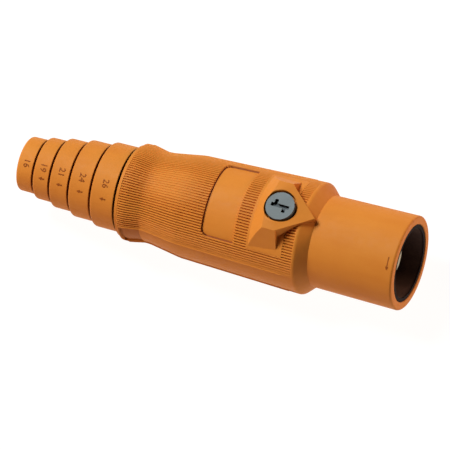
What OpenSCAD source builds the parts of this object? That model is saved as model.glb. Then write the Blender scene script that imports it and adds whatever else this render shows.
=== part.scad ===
// Single pole cam-type power plug, male, for one large portable cable.
// The plug lies along X with its mouth towards +X and its screw boss towards +Z.
// The origin is on the axis, where the contact pin leaves the floor of the shroud.

/* [Strain relief] */
// Number of trim-to-fit bands
band_count = 5; // [3:1:6]
// Radius of the smallest band, at the rear end
rear_band_r = 13.2; // [12:0.1:14]
// Radius of the largest band
front_band_r = 20.6; // [19:0.1:21.5]
// Length of the smallest band
rear_band_len = 8.2; // [6:0.1:9]
// How much longer each band is than the one behind it
band_len_step = 1.3; // [0.5:0.1:1.8]
// Width of the trim groove between two bands
trim_groove_w = 1; // [0.6:0.1:1.6]
// Depth of the trim groove
trim_groove_d = 2.4; // [1:0.1:2.6]
// Rounding of each band's rear edge
band_round = 1.2; // [0.6:0.1:2]
// How much a band grows in radius along its length
band_taper = 0.1; // [0:0.1:0.5]

/* [Grip] */
// Radius of the bulge behind the waist
bulge_r = 23.6; // [22.5:0.1:24.5]
// Length of the bulge's level crest
bulge_len = 2.4; // [2:0.1:6]
// Radius of the waist
waist_r = 22.1; // [20.5:0.1:22.4]
// Distance from the bulge's crest to the waist
bulge_to_waist = 8.9; // [6:0.1:12]
// Distance from the waist to where the grip's straight taper begins
waist_to_grip = 20.1; // [14:0.1:24]
// Radius where the straight taper begins
grip_rear_r = 24.9; // [23.5:0.1:25.5]
// Length of the straight taper
grip_len = 62.7; // [58:0.2:68]
// Radius at the front edge of the grip
grip_front_r = 27.3; // [26.5:0.1:28.5]
// Rounding of the grip's front edge
front_round = 2.2; // [1:0.1:3]
// Depth of the small flat along the foot of the taper, on which the soft grip lies
rest_flat_d = 0.15; // [0.05:0.05:0.3]

/* [Ribs] */
// Angle from rib to rib
rib_pitch = 3; // [3:0.5:5]
// Share of the pitch that the groove between two ribs takes
rib_groove_share = 0.5; // [0.3:0.05:0.6]
// Depth of the grooves
rib_depth = 0.6; // [0.3:0.05:0.8]
// Half angle over which the grooves have their full depth
rib_full_angle = 50; // [40:1:60]
// Half angle of the side ledges, where the ribs end
ledge_angle = 71; // [66:1:74]

/* [Side strips] */
// Depth of the sunk strip between two ledges
strip_depth = 0.9; // [0.4:0.1:1.2]
// Depth of the pocket in each side, from the bulge to the waist
pocket_depth = 1.7; // [1.1:0.1:2]
// Distance from the bulge's rear edge to the pocket's front wall
pocket_len = 10.2; // [6:0.1:12]

/* [Name panel] */
// Distance from the grip's front edge back to the panel's front edge
panel_setback = 33.2; // [31:0.1:34]
// Length of the panel
panel_len = 16.8; // [13:0.1:18]
// Depth of the panel's flat sunk face
panel_depth = 1.1; // [0.6:0.1:1.4]
// Half angle that the panel covers
panel_angle = 48.5; // [40:0.5:50]
// Length of the rib band in front of the panel
short_band_len = 6.9; // [4:0.1:8]
// Length of the rib band at the grip's front edge
front_band_len = 7.6; // [6:0.1:9.5]

/* [Nose] */
// Outer radius of the nose at its root
nose_root_r = 22.3; // [21.8:0.1:23]
// Outer radius of the nose at the mouth
nose_r = 23; // [22.5:0.1:24]
// Distance from the grip's front edge to the mouth
nose_reach = 47.1; // [44:0.1:53]
// Length of the shoulder between the grip and the nose
shoulder_len = 3.9; // [3.6:0.1:6]
// Radius of the mouth
mouth_r = 18.9; // [18.2:0.1:19.4]
// Rounding of the mouth's outer edge
mouth_round = 1.1; // [0.5:0.1:1.8]

/* [Screw boss] */
// Distance from the grip's front edge back to the retaining screw
screw_setback = 12.7; // [12:0.1:13.4]
// Height of the boss's flat top above the axis
boss_top = 31.7; // [31:0.1:32.6]
// Half width of the flat top
boss_flat_w = 8.6; // [8:0.1:9.4]
// Half width at the side edges, above the steep flanks
boss_edge_w = 12.5; // [12:0.1:14]
// Drop from the flat top to the side edges
boss_edge_drop = 1; // [0.5:0.1:1.6]
// Slope of the steep flanks
boss_flank_slope = 63; // [58:1:68]
// Slope of the ramp that rises from the grip behind the boss
boss_ramp_slope = 42; // [38:1:48]
// Distance from the screw back to the foot of the ramp
boss_ramp_reach = 12.4; // [12:0.1:13]
// Distance from the screw to the front wall of the side points
boss_wall_reach = 2; // [1:0.1:2.4]
// Distance from the screw to the arrow's tip
boss_tip_reach = 16.8; // [15:0.1:17.5]
// Downward slope of the arrow's top
boss_arrow_slope = 18; // [14:0.5:20]

/* [Cable passage] */
// Radius of the cable entry in the smallest band
entry_r = 8; // [7.6:0.1:9]
// How much the passage widens from band to band
entry_step = 1.3; // [0.8:0.1:1.4]

/* [Contact carrier] */
// Wall of the carrier's front tube, inside the shroud
liner_wall = 1.8; // [1.2:0.1:2.4]
// How far the front tube's end lies behind the mouth
liner_setback = 0.3; // [0.2:0.1:2]
// Thickness of the shroud's floor
floor_t = 4; // [3:0.1:5]
// Wall of the carrier's rear tube, round the contact's barrel
carrier_wall = 3.2; // [2.6:0.1:3.4]
// Thickness of the rear stop that the barrel rests against
stop_t = 2; // [1.5:0.1:3]
// Width of the rear stop's lip
stop_lip = 2.6; // [2:0.1:3]

/* [Contact] */
// Radius of the contact pin
pin_r = 8; // [7.6:0.1:8.2]
// Distance from the mouth back to the pin's end
pin_setback = 7.5; // [6:0.1:10]
// Bevel of the pin's end
pin_bevel = 0.8; // [0.4:0.1:1.2]
// Distance from the mouth back to the floor of the shroud
shroud_depth = 48; // [46:0.1:48.5]
// Radius of the barrel
barrel_r = 12.5; // [12.2:0.1:12.8]
// Length of the barrel
barrel_len = 52; // [50:0.5:54]
// Radius of the conductor socket
socket_r = 7.2; // [6.4:0.1:7.4]
// Depth of the conductor socket
socket_depth = 34; // [32:0.5:35]
// Depth of the flat that the barrel has round the retaining screw
screw_flat_d = 1.8; // [0.5:0.1:2]
// Length of that flat
screw_flat_len = 13; // [9:0.5:16]
// Width of the slot that lets the mate's stud into the pin
cam_slot_w = 5; // [4:0.1:5.5]
// Depth of the slot and of the cam groove
cam_depth = 2.6; // [2:0.1:3]
// Distance from the pin's end to the cam groove's middle
cam_reach = 17; // [14:0.1:20]
// Tilt of the cam groove, which draws the plug in as it turns
cam_tilt = 6; // [4:0.5:9]

/* [Screws] */
// Radius of the retaining screw's head
head_r = 7; // [7:0.1:7.4]
// Height of the head
head_h = 5; // [4:0.1:6]
// How far the head lies below the boss's flat top
head_sunk = 0.5; // [0.2:0.1:1]
// Gap round the head
head_gap = 1; // [0.7:0.05:1]
// Radius of the retaining screw's shank
shank_r = 4.5; // [4:0.1:5]
// How far the shank reaches into the barrel
shank_hold = 3.2; // [2:0.1:3.2]
// Length of the driver slot
slot_len = 9.2; // [8:0.1:11]
// Width of the driver slot
slot_w = 1.8; // [1.4:0.1:2.2]
// Depth of the driver slot
slot_d = 2; // [1.5:0.1:2.5]
// Distance from the head's middle to each of the slot's two notches
notch_at = 2.4; // [1.5:0.1:3]
// How far a notch reaches from the slot's middle line
notch_reach = 2.9; // [1.5:0.1:3.5]
// Angle between the driver slot and the plug's axis
slot_turn = 1; // [0:1:45]
// Radius of the two conductor set screws
set_screw_r = 5; // [4:0.1:5.5]
// Width across the flats of their hexagon sockets
hex_w = 5; // [4:0.1:5.5]
// Depth of the hexagon sockets
hex_d = 2.4; // [2:0.1:3.5]
// Distance from the barrel's rear end to the first set screw
set_screw_first = 8.5; // [7:0.1:10]
// Distance between the two set screws
set_screw_step = 14; // [12:0.1:15]

/* [Hidden] */
$fn = 96;
overlap = 1;
fit_gap = 0.1;
arc_steps = 4;
bulge_steps = 3;
waist_steps = 5;
shoulder_turn = 45;
rib_land = 0.3;
pocket_lip = 0.6;
rib_start_gap = 0.25;
collar_len = 3.6;
collar_step = 1.2;

// Places along the axis, counted forward from the rear end
function band_len(k) = rear_band_len + k * band_len_step;
function band_start(k) = k * rear_band_len + band_len_step * k * (k - 1) / 2;
relief_len = band_start(band_count);
bulge_x = relief_len + collar_len;
waist_x = bulge_x + bulge_len + bulge_to_waist;
taper_x = waist_x + waist_to_grip;
front_x = taper_x + grip_len;
nose_x = front_x + shoulder_len;
mouth_x = front_x + nose_reach;
floor_x = mouth_x - shroud_depth;
barrel_x = floor_x - barrel_len;
screw_x = front_x - screw_setback;
panel_front_x = front_x - panel_setback;
panel_rear_x = panel_front_x - panel_len;
tip_x = screw_x + boss_tip_reach;
wall_x = screw_x + boss_wall_reach;
pin_end_x = mouth_x - pin_setback;
carrier_x = barrel_x - stop_t;
rib_rear_x = bulge_x - rib_start_gap;
rib_front_x = front_x - front_round - rib_land;

// Radii that follow from others
function band_r(k) = rear_band_r + k * (front_band_r - rear_band_r) / (band_count - 1);
function entry_radius(k) = entry_r + k * entry_step;
collar_r = bulge_r - collar_step;
carrier_r = barrel_r + fit_gap + carrier_wall;
head_top = boss_top - head_sunk;
head_seat = head_top - head_h;
shank_end = barrel_r - shank_hold;
set_screw_end = fit_gap - sqrt(barrel_r ^ 2 - set_screw_r ^ 2);

function blend(a, b, t) = a + (b - a) * (1 - cos(180 * t)) / 2;
function arc(cx, cr, radius, from, to) = [for (i = [0:arc_steps])
    let (a = from + (to - from) * i / arc_steps) [cr + radius * sin(a), cx + radius * cos(a)]];

// Outline of one band: a rounded rear edge, a slight taper and a square front edge
function band_outline(k) =
    let (x = band_start(k) + (k == 0 ? 0 : trim_groove_w), r = band_r(k),
        end = band_start(k + 1), floor_r = r + band_taper - trim_groove_d)
    concat(arc(x + band_round, r - band_round, band_round, 180, 90),
        [[r + band_taper, end], [floor_r, end], [floor_r, end + trim_groove_w]]);

// Rings of the grip, as [radius, place], from the bulge to the front edge
grip_rings = concat(
    [[bulge_r, bulge_x], [bulge_r, bulge_x + bulge_len]],
    [for (i = [1:bulge_steps]) [blend(bulge_r, waist_r, i / bulge_steps),
        bulge_x + bulge_len + bulge_to_waist * i / bulge_steps]],
    [for (i = [1:waist_steps]) [blend(waist_r, grip_rear_r, i / waist_steps),
        waist_x + waist_to_grip * i / waist_steps]],
    [[grip_front_r, front_x]]);

function ring_r(x) = lookup(x, [for (g = grip_rings) [g[1], g[0]]]);

// A strip of the grip's surface between two places, from below the surface to above it
function strip(x0, x1, depth) =
    let (rings = concat([[ring_r(x0), x0]],
        [for (g = grip_rings) if (g[1] > x0 && g[1] < x1) g], [[ring_r(x1), x1]]))
    concat([for (g = rings) [g[0] - depth, g[1]]],
        [for (i = [len(rings) - 1:-1:0]) [rings[i][0] + overlap, rings[i][1]]]);

module along_axis() {
    rotate([0, 90, 0]) rotate([0, 0, 180]) children();
}

module turned(outline) {
    along_axis() rotate_extrude() polygon(outline);
}

// A turned solid that covers only some degrees, its middle at an angle from the boss
module turned_part(outline, middle, width) {
    along_axis() rotate([0, 0, middle - width / 2]) rotate_extrude(angle = width) polygon(outline);
}

module placed() {
    translate([-floor_x, 0, 0]) children();
}

module sleeve_blank() {
    turned(concat(
        [[0, 0]],
        [for (k = [0:band_count - 1]) each band_outline(k)],
        [[collar_r, relief_len + trim_groove_w], [collar_r, bulge_x - trim_groove_w / 2]],
        [[collar_r - rib_depth, bulge_x - trim_groove_w / 2], [collar_r - rib_depth, bulge_x]],
        [for (g = grip_rings) if (g[1] < front_x) g],
        arc(front_x - front_round, ring_r(front_x - front_round) - front_round, front_round,
            90, shoulder_turn),
        [[nose_root_r, nose_x]],
        arc(mouth_x - mouth_round, nose_r - mouth_round, mouth_round, 90, 0),
        [[0, mouth_x]]));
}

// The cable passage, the seat of the contact carrier and the mouth
module sleeve_passage() {
    turned(concat(
        [[0, -overlap]],
        [for (k = [0:band_count - 1]) each
            [[entry_radius(k), k == 0 ? -overlap : band_start(k)], [entry_radius(k), band_start(k + 1)]]],
        [[entry_radius(band_count - 1), carrier_x - fit_gap], [carrier_r + fit_gap, carrier_x - fit_gap],
        [carrier_r + fit_gap, floor_x - floor_t - fit_gap], [mouth_r, floor_x - floor_t - fit_gap],
        [mouth_r, mouth_x - liner_setback], [mouth_r + liner_setback / 2, mouth_x + overlap],
        [0, mouth_x + overlap]]));
}

function groove_depth(angle) = abs(angle) <= rib_full_angle ? rib_depth :
    rib_depth * (ledge_angle - abs(angle)) / (ledge_angle - rib_full_angle);

// Grooves between the ribs, on the boss side and mirrored on the far side
module rib_grooves() {
    count = floor((ledge_angle - rib_pitch / 2) / rib_pitch);
    width = rib_pitch * rib_groove_share;
    for (side = [0, 180], i = [-count:count]) {
        angle = i * rib_pitch;
        depth = groove_depth(angle);
        if (abs(angle) <= panel_angle) {
            turned_part(strip(rib_rear_x, panel_rear_x + overlap, depth), side + angle, width);
            turned_part(strip(panel_front_x - overlap, panel_front_x + short_band_len, depth),
                side + angle, width);
            turned_part(strip(front_x - front_band_len, rib_front_x, depth), side + angle, width);
        } else {
            turned_part(strip(rib_rear_x, rib_front_x, depth), side + angle, width);
        }
    }
}

// Sunk strip along each side, between the ledges, with a deeper pocket from the bulge to the waist
module side_strips() {
    width = 2 * (90 - ledge_angle);
    for (side = [-90, 90]) {
        turned_part(strip(bulge_x + bulge_len, rib_front_x, strip_depth), side, width);
        turned_part(strip(bulge_x + pocket_lip, bulge_x + pocket_len, pocket_depth), side, width - rib_pitch);
    }
}

// Small flat along the foot of the taper, which runs out at both ends
module rest_flat() {
    slope = (grip_front_r - grip_rear_r) / grip_len;
    height = function(x) -(grip_rear_r - rest_flat_d + (x - taper_x) * slope);
    foot = -(grip_front_r + overlap);
    rotate([90, 0, 0]) linear_extrude(grip_rear_r, center = true) polygon([
        [waist_x, height(waist_x)], [front_x + overlap, height(front_x + overlap)],
        [front_x + overlap, foot], [waist_x, foot]]);
}

// Flat-floored panel for a name, on both faces of the grip
module panels() {
    for (side = [0, 180])
        turned_part(strip(panel_rear_x, panel_front_x, panel_depth), side, 2 * panel_angle);
}

// Arrow-shaped boss: a ramp turned about the axis, cut by facets and by the arrow's outline
module boss() {
    foot_x = screw_x - boss_ramp_reach;
    foot_r = ring_r(foot_x);
    edge_z = boss_top - boss_edge_drop;
    base_z = grip_rear_r / 2;
    flank = boss_edge_w + (edge_z - base_z) / tan(boss_flank_slope);
    top_r = norm([boss_edge_w, boss_top]) + overlap;
    core_r = carrier_r + overlap;
    intersection() {
        turned([[core_r, foot_x], [foot_r, foot_x],
            [top_r, foot_x + (top_r - foot_r) / tan(boss_ramp_slope)], [top_r, tip_x + overlap],
            [core_r, tip_x + overlap]]);
        // Facets of the top and flanks
        rotate([90, 0, 90]) linear_extrude(tip_x + 2 * overlap) polygon([
            [-flank, base_z], [-boss_edge_w, edge_z], [-boss_flat_w, boss_top],
            [boss_flat_w, boss_top], [boss_edge_w, edge_z], [flank, base_z]]);
        // Side points and arrowhead, seen from above
        linear_extrude(boss_top + overlap) polygon([
            [foot_x - overlap, -flank], [wall_x, -flank], [wall_x, -boss_edge_w],
            [tip_x, 0], [wall_x, boss_edge_w], [wall_x, flank], [foot_x - overlap, flank]]);
        // Slope of the arrowhead, seen from the side
        translate([0, flank, 0]) rotate([90, 0, 0]) linear_extrude(2 * flank) polygon([
            [0, 0], [0, boss_top + overlap], [screw_x, boss_top + overlap], [screw_x, boss_top],
            [tip_x + overlap, boss_top - (tip_x + overlap - screw_x) * tan(boss_arrow_slope)],
            [tip_x + overlap, 0]]);
    }
}

module upright(x, z0, z1, r) {
    translate([x, 0, z0]) cylinder(h = z1 - z0, r = r);
}

module insulating_sleeve() {
    color([0.85, 0.45, 0.18])
    placed() difference() {
        union() {
            difference() {
                sleeve_blank();
                rib_grooves();
                side_strips();
                panels();
                rest_flat();
            }
            boss();
        }
        sleeve_passage();
        upright(screw_x, head_seat, boss_top + overlap, head_r + head_gap);
        upright(screw_x, 0, head_seat + overlap, shank_r + fit_gap);
    }
}

module contact_carrier() {
    liner_r = mouth_r - fit_gap;
    front_x_end = mouth_x - liner_setback;
    color([0.06, 0.055, 0.05])
    placed() difference() {
        turned([[barrel_r + fit_gap - stop_lip, carrier_x], [carrier_r, carrier_x],
            [carrier_r, floor_x - floor_t], [liner_r, floor_x - floor_t], [liner_r, front_x_end],
            [liner_r - liner_wall, front_x_end], [liner_r - liner_wall, floor_x],
            [barrel_r + fit_gap, floor_x], [barrel_r + fit_gap, barrel_x],
            [barrel_r + fit_gap - stop_lip, barrel_x]]);
        upright(screw_x, 0, carrier_r + overlap, shank_r + fit_gap);
    }
}

module male_contact() {
    socket_bevel = 1;
    color([0.83, 0.72, 0.48])
    placed() difference() {
        turned([[0, barrel_x], [barrel_r, barrel_x], [barrel_r, floor_x], [pin_r, floor_x],
            [pin_r, pin_end_x - pin_bevel], [pin_r - pin_bevel, pin_end_x], [0, pin_end_x]]);
        // Conductor socket with a bevelled mouth
        turned([[0, barrel_x - overlap], [socket_r + socket_bevel, barrel_x - overlap],
            [socket_r + socket_bevel, barrel_x], [socket_r, barrel_x + socket_bevel],
            [socket_r, barrel_x + socket_depth], [0, barrel_x + socket_depth]]);
        // Blind hole for the retaining screw's end
        upright(screw_x, shank_end - fit_gap, barrel_r + overlap, shank_r + fit_gap);
        // Threaded holes of the set screws
        for (i = [0, 1])
            upright(barrel_x + set_screw_first + i * set_screw_step, -barrel_r - overlap, 0,
                set_screw_r + fit_gap / 2);
        // Flat on which the sleeve's retaining screw bears
        translate([screw_x - screw_flat_len / 2, -barrel_r, barrel_r - screw_flat_d])
            cube([screw_flat_len, 2 * barrel_r, screw_flat_d + overlap]);
        // Way in for the mate's stud, in line with the arrow, then the cam groove
        translate([pin_end_x - cam_reach, -cam_slot_w / 2, pin_r - cam_depth])
            cube([cam_reach + overlap, cam_slot_w, cam_depth + overlap]);
        translate([pin_end_x - cam_reach, 0, 0]) rotate([0, cam_tilt, 0])
            turned_part([[pin_r - cam_depth, -cam_slot_w / 2], [pin_r + overlap, -cam_slot_w / 2],
                [pin_r + overlap, cam_slot_w / 2], [pin_r - cam_depth, cam_slot_w / 2]], 90, 200);
    }
}

module retaining_screw() {
    head_bevel = 0.4;
    color([0.49, 0.56, 0.56])
    placed() translate([screw_x, 0, 0]) difference() {
        rotate_extrude() polygon([[0, shank_end], [shank_r - head_bevel, shank_end],
            [shank_r, shank_end + head_bevel], [shank_r, head_seat], [head_r, head_seat],
            [head_r, head_top - head_bevel], [head_r - head_bevel, head_top], [0, head_top]]);
        // Driver slot with a notch on each side
        translate([0, 0, head_top - slot_d]) rotate([0, 0, -slot_turn]) {
            translate([-slot_len / 2, -slot_w / 2, 0]) cube([slot_len, slot_w, slot_d + overlap]);
            for (turn = [0, 180])
                rotate([0, 0, turn]) translate([notch_at - slot_w / 2, -notch_reach, 0])
                    cube([slot_w, notch_reach, slot_d + overlap]);
        }
    }
}

// Conductor set screw with a hexagon socket, its end level with the socket's wall
module set_screw(i) {
    color([0.3, 0.3, 0.32])
    placed() translate([barrel_x + set_screw_first + i * set_screw_step, 0, 0]) difference() {
        upright(0, set_screw_end, -socket_r - fit_gap, set_screw_r);
        translate([0, 0, set_screw_end - overlap])
            cylinder(h = hex_d + overlap, r = hex_w / sqrt(3), $fn = 6);
    }
}

module rear_set_screw() { set_screw(0); }
module front_set_screw() { set_screw(1); }

insulating_sleeve();
contact_carrier();
male_contact();
retaining_screw();
rear_set_screw();
front_set_screw();
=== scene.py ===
"""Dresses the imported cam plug: its moulded skin, its screw, its marks, its finishes and a studio."""

import math

import bmesh
import bpy
import numpy as np
from bpy.props import FloatProperty, FloatVectorProperty, IntProperty, PointerProperty
from mathutils import Matrix, Vector


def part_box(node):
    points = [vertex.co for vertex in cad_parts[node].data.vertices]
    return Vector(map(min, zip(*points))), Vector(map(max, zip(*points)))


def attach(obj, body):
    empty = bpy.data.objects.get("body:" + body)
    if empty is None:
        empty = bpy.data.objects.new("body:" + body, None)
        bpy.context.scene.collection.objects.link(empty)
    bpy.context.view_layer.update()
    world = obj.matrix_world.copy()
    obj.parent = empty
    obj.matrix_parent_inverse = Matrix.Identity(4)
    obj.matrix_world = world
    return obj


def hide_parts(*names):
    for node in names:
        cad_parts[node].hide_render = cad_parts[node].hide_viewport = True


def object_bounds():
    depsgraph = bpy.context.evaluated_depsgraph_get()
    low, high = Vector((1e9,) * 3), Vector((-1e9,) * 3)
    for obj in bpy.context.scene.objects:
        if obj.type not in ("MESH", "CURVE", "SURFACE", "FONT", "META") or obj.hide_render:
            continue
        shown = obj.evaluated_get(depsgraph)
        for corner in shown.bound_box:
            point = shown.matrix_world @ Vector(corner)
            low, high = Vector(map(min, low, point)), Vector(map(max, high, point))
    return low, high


bl_info = {
    "name": "Cam Plug Looks",
    "version": (1, 0, 0),
    "blender": (4, 5, 0),
    "location": "View3D > Sidebar > Cam Plug",
    "description": "Builds the moulded skin, screw, marks, finishes and studio of a single pole cam plug",
    "category": "Object",
}

MM = 0.001
PICTURE_PX = 450
COOL, WARM = (0.9, 1.05, 1.12), (1, 0.68, 0.46)
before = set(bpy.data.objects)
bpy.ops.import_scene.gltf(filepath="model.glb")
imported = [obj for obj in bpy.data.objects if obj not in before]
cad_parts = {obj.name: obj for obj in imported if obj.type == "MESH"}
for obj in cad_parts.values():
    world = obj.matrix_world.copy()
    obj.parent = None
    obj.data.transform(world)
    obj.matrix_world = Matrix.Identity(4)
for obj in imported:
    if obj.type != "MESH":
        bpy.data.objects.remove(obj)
SLEEVE_LOW, SLEEVE_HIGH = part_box("insulating_sleeve")
SCREW_LOW, SCREW_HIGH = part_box("retaining_screw")
CARRIER_LOW, CARRIER_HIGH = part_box("contact_carrier")
CAD_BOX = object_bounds()
SCREW_X, HEAD_R = (SCREW_LOW.x + SCREW_HIGH.x) / 2, (SCREW_HIGH.x - SCREW_LOW.x) / 2
UPRIGHT = Matrix.Rotation(-math.pi / 2, 4, "Y")


def length(name, description, mm):
    """A size in metres, whose default is given in millimetres."""
    return FloatProperty(name=name, description=description, default=mm * MM, unit="LENGTH", precision=5)


def angle(name, description, degrees):
    """An angle in radians, whose default is given in degrees."""
    return FloatProperty(name=name, description=description, default=math.radians(degrees), unit="ROTATION")


def colour(name, description, *rgb):
    """A linear colour."""
    return FloatVectorProperty(
        name=name, description=description, default=rgb, size=3, subtype="COLOR", min=0, max=1)


def power(name, description, watts):
    """The power of a light."""
    return FloatProperty(name=name, description=description, default=watts, min=0, unit="POWER")


class CamPlugReliefSizes(bpy.types.PropertyGroup):
    """Sizes of the stepped strain relief."""

    bands: IntProperty(name="Bands", description="Number of trim-to-fit bands", default=5, min=3, max=6)
    rear_r: length("Rear band radius", "Radius of the smallest band", 13.2)
    front_r: length("Front band radius", "Radius of the largest band", 20.6)
    rear_len: length("Rear band length", "Length of the smallest band", 8.2)
    len_step: length("Length step", "How much longer each band is than the one behind it", 1.3)
    groove_w: length("Groove width", "Width of the trim groove between two bands", 1.25)
    groove_d: length("Groove depth", "Depth of the trim groove", 2.4)
    last_groove_w: length("Last groove width", "Width of the groove in front of the last band", 1.6)
    rounding: length("Edge rounding", "Rounding of each band's rear edge", 1.2)
    taper: length("Taper", "How much a band grows in radius along its length", 0.1)
    entry_r: length("Cable entry radius", "Radius of the passage in the smallest band", 8)
    entry_step: length("Passage step", "How much the passage widens from band to band", 1.3)


class CamPlugGripSizes(bpy.types.PropertyGroup):
    """Sizes of the ribbed grip, its panel and its side strips."""

    bulge_r: length("Bulge radius", "Radius of the bulge behind the waist", 23.6)
    collar_len: length("Collar length", "Length of the plain collar behind the bulge", 3.6)
    bulge_len: length("Bulge length", "Length of the bulge's level crest", 2.4)
    waist_r: length("Waist radius", "Radius of the waist", 22.1)
    bulge_to_waist: length("Bulge to waist", "Distance from the bulge's crest to the waist", 8.9)
    waist_to_grip: length("Waist to taper", "Distance from the waist to the straight taper", 20.1)
    rear_r: length("Rear radius", "Radius where the straight taper begins", 24.9)
    grip_len: length("Taper length", "Length of the straight taper", 62.7)
    front_r: length("Front radius", "Radius at the grip's front edge", 27.3)
    rounding: length("Front rounding", "Rounding of the grip's front edge", 2.2)
    shoulder_turn: angle("Shoulder turn", "Angle at which the front rounding runs into the shoulder", 45)
    rib_land: length("Rib land", "Plain land between the ribs' ends and the front rounding", 0.3)
    rest_flat: length("Rest flat", "Depth of the small flat along the foot of the taper", 0.15)
    bead_h: length("Bead height", "Height of the bead along each ledge", 0.22)
    rib_pitch: angle("Rib pitch", "Angle from rib to rib", 3)
    rib_depth: length("Rib depth", "Depth of the grooves between the ribs", 0.75)
    shallow: FloatProperty(
        name="Shallow grooves", default=0.42, min=0, max=1, subtype="FACTOR",
        description="Share of their depth that the topmost grooves keep between waist and panel")
    rib_full: angle("Full ribs", "Half angle over which the grooves have their full depth", 50)
    ledge: angle("Ledge angle", "Half angle of the side ledges, where the ribs end", 71)
    strip_depth: length("Strip depth", "Depth of the sunk strip between two ledges", 0.5)
    pocket_depth: length("Pocket depth", "Depth of the pocket from the bulge to the waist", 1.3)
    pocket_lip: length("Pocket lip", "Distance from the bulge's rear edge to the pocket", 0.6)
    pocket_len: length("Pocket length", "Distance from the bulge's rear edge to the pocket's end", 10.2)
    panel_setback: length("Panel setback", "Distance from the grip's front edge to the panel", 33.2)
    panel_len: length("Panel length", "Length of the sunk panel", 16.8)
    panel_depth: length("Panel depth", "Depth of the sunk panel", 1.1)
    panel_half: angle("Panel half angle", "Half angle that the panel covers", 48.5)
    panel_corner: length("Panel corner", "Radius of the panel's rear corners", 3.5)
    short_band: length("Short rib band", "Length of the rib band in front of the panel", 6.9)
    front_band: length("Front rib band", "Length of the rib band at the front edge", 7.6)


class CamPlugNoseSizes(bpy.types.PropertyGroup):
    """Sizes of the shoulder, the nose and the arrow-shaped screw boss."""

    shoulder_len: length("Shoulder length", "Length of the shoulder between grip and nose", 3.9)
    root_r: length("Root radius", "Radius of the nose at its root", 22.3)
    tip_r: length("Mouth end radius", "Radius of the nose at the mouth", 23)
    mouth_r: length("Mouth radius", "Inner radius of the mouth", 18.9)
    rounding: length("Mouth rounding", "Rounding of the mouth's outer edge", 1.1)
    boss_flat: length("Boss flat", "Half width of the boss's flat top", 8.6)
    boss_edge: length("Boss edge", "Half width at the side edges above the flanks", 12.5)
    boss_drop: length("Boss edge drop", "Drop from the flat top to the side edges", 1)
    flank: angle("Flank slope", "Slope of the boss's steep flanks", 63)
    ramp: angle("Ramp slope", "Slope of the ramp behind the boss", 42)
    ramp_reach: length("Ramp reach", "Distance from the screw back to the ramp's foot", 12.4)
    wall_reach: length("Wall reach", "Distance from the screw to the side points' front wall", 2)
    tip_reach: length("Tip reach", "Distance from the screw to the arrow's tip", 16.8)
    arrow_slope: angle("Arrow slope", "Downward slope of the arrow's top", 18)
    boss_softness: length("Boss edge softness", "Rounding of the boss's edges", 0.35)
    head_gap: length("Screw gap", "Gap round the retaining screw's head", 1)


class CamPlugMarkSizes(bpy.types.PropertyGroup):
    """Sizes of the raised marks: cable diameters on the bands and an arrow that shows the way to turn."""

    height: length("Height", "How far the marks stand out", 0.2)
    digit: length("Digit size", "Height of the digits", 4.4)
    digit_turn: angle("Digit place", "Angle from the boss to the middle of the digits", 20)
    tick: length("Band arrow", "Length of the small arrows on the bands", 3)
    tick_turn: angle("Band arrow place", "Angle from the boss to the small arrows", 41)
    arrow: length("Turn arrow", "Length of the arrow near the mouth", 6.4)
    arrow_turn: angle("Turn arrow place", "Angle from the boss to the middle of that arrow", 27)
    arrow_back: length("Turn arrow setback", "Distance from the mouth back to that arrow", 3.3)


class CamPlugScrewSizes(bpy.types.PropertyGroup):
    """Sizes of the retaining screw."""

    head_h: length("Head height", "Height of the head", 5)
    shank_r: length("Shank radius", "Radius of the shank", 4.5)
    slot_len: length("Slot length", "Length of the driver slot", 9.2)
    slot_w: length("Slot width", "Width of the driver slot", 1.8)
    slot_d: length("Slot depth", "Depth of the driver slot", 2)
    notch_at: length("Notch place", "Distance from the head's middle to a notch, along the slot", 2.4)
    notch_reach: length("Notch reach", "How far a notch reaches from the slot's middle line", 2.9)
    turn: angle("Slot turn", "Angle between the driver slot and the plug's axis", 1)
    softness: length("Edge softness", "Rounding of the head's edges", 0.3)


class CamPlugFinish(bpy.types.PropertyGroup):
    """Colours of the finishes, in linear values."""

    orange: colour("Orange", "Colour of the elastomer sleeve", 0.65, 0.205, 0.026)
    deep_orange: colour("Deep orange", "Colour of the elastomer in its darker patches", 0.59, 0.165, 0.018)
    # Painted shade: shade is the colour painted where a little shade falls, in shallow grooves and on the
    # marks; the next colour is painted near black where shade falls deepest, at the floors of the trim
    # grooves and along walls.
    shade: colour("Shade", "Colour of the elastomer in its shallow grooves", 0.22, 0.04, 0.005)
    soot: colour("Soot", "Colour of the elastomer at the floor of its deep grooves", 0.02, 0.005, 0.002)
    black: colour("Black", "Colour of the contact carrier", 0.035, 0.02, 0.016)
    brass: colour("Brass", "Colour of the contact", 0.86, 0.76, 0.56)
    screw: colour("Screw", "Colour of the retaining screw", 0.083, 0.085, 0.081)
    steel: colour("Steel", "Colour of the set screws", 0.16, 0.16, 0.17)
    floor: colour("Floor", "Colour of the floor", 0.08, 0.08, 0.08)


class CamPlugStage(bpy.types.PropertyGroup):
    """How the photograph's camera stood, and the studio's light."""

    tilt: angle("Axis tilt", "How far the mouth is turned towards the camera", 19.3)
    boss_turn: angle("Boss turn", "Angle of the boss above the direction that faces the camera", 20)
    roll: angle("Roll", "How far the axis falls to the right in the picture", 14.7)
    distance: length("Distance", "Distance of the camera", 5000)
    picture_w: length("Picture width", "Width of the picture at the plug", 214.6)
    rear_end_px: FloatVectorProperty(
        name="Rear end", description="Middle of the plug's rear end in the picture, in pixels",
        default=(27.06, 163.11), size=2)
    key_power: power("Key light", "Power of the light from above the strain relief", 32)
    side_power: power("Side light", "Power of the warm light on the near side", 3)
    front_power: power("Front light", "Power of the light on the mouth", 4.9)
    glow: FloatProperty(name="Floor glow", description="Strength of the floor's own light", default=0.985)
    sky: FloatProperty(name="Sky", description="Strength of the even light from all round", default=0.03)


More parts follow.
